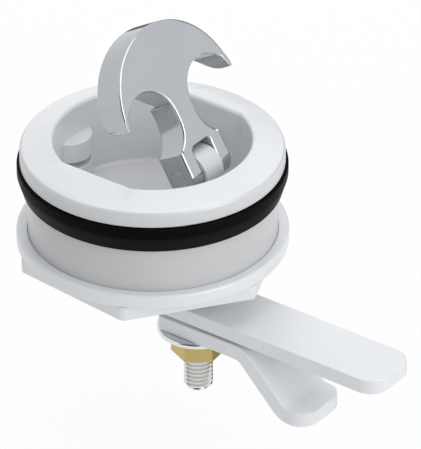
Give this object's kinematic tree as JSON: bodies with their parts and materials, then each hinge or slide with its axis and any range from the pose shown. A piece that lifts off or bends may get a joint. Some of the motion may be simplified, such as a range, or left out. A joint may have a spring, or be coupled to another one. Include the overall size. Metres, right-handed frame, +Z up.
{
  "type": "recessed turn handle",
  "caption": "Flush round latch: a crescent handle folds into a recessed housing and, lifted, turns an offset spindle with two latch arms below the panel.",
  "frame": {"origin": "on the housing's axis, in the top face of the ring nut's flange", "axes": "+Z up out of the panel, +X along the latch arms, +Y along the hinge pin"},
  "size_m": [0.1183, 0.0742, 0.1072],
  "materials": {
    "white_plastic": "smooth moulded white plastic, satin to glossy",
    "black_rubber": "black moulded rubber",
    "polished_metal": "polished, plated metal",
    "bright_steel": "bright steel",
    "brass": "bare turned brass"
  },
  "bodies": {
    "housing": {"housing": "white_plastic", "rim_gasket": "black_rubber", "ring_nut": "white_plastic"},
    "spindle": {"spindle": "white_plastic", "spindle_seal": "black_rubber", "thrust_washer": "bright_steel", "stud": "bright_steel", "upper_arm": "white_plastic", "spacer_washer": "bright_steel", "lower_arm": "white_plastic", "flat_washer": "bright_steel", "clamp_nut": "brass"},
    "handle": {"handle": "polished_metal", "hinge_pin": "bright_steel"}
  },
  "joints": [
    {"name": "spindle_turn", "type": "hinge", "parent": "housing", "child": "spindle", "pos_m": [0.0154, 0, 0], "axis": [0, 0, 1], "range_deg": [0, 360]},
    {"name": "handle_lift", "type": "hinge", "parent": "spindle", "child": "handle", "pos_m": [0.0154, 0, 0.0234], "axis": [0, 1, 0], "range_deg": [-59, 31]}
  ]
}
